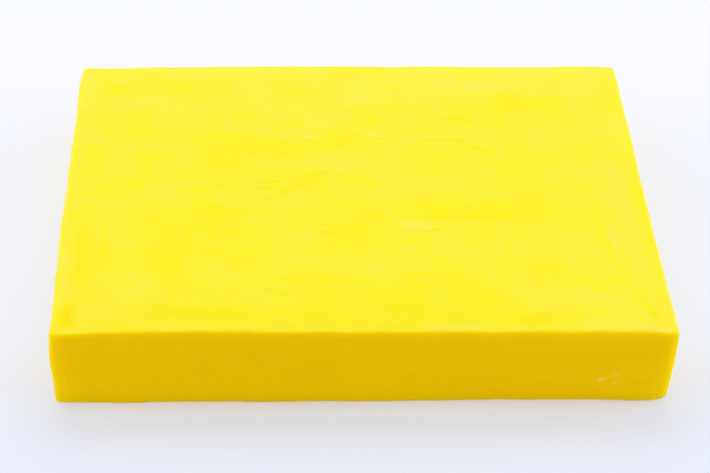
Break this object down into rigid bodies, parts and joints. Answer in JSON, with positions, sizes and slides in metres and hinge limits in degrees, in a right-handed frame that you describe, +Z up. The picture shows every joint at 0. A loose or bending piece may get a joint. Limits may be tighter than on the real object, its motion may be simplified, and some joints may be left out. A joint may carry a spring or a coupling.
{
  "type": "clay bar",
  "caption": "Flat rectangular bar of yellow detailing clay with soft edges and slightly swelling cut walls, for lifting grit from car paint and glass.",
  "frame": {"origin": "centre of the resting face, on the surface that the bar lies on", "axes": "+X along the bar's length, +Y across its width away from the front wall, +Z up from the resting face to the working face"},
  "size_m": [0.085, 0.065, 0.0125],
  "materials": {
    "clay": "satin"
  },
  "bodies": {
    "root": {"clay_bar": "clay"}
  },
  "joints": []
}
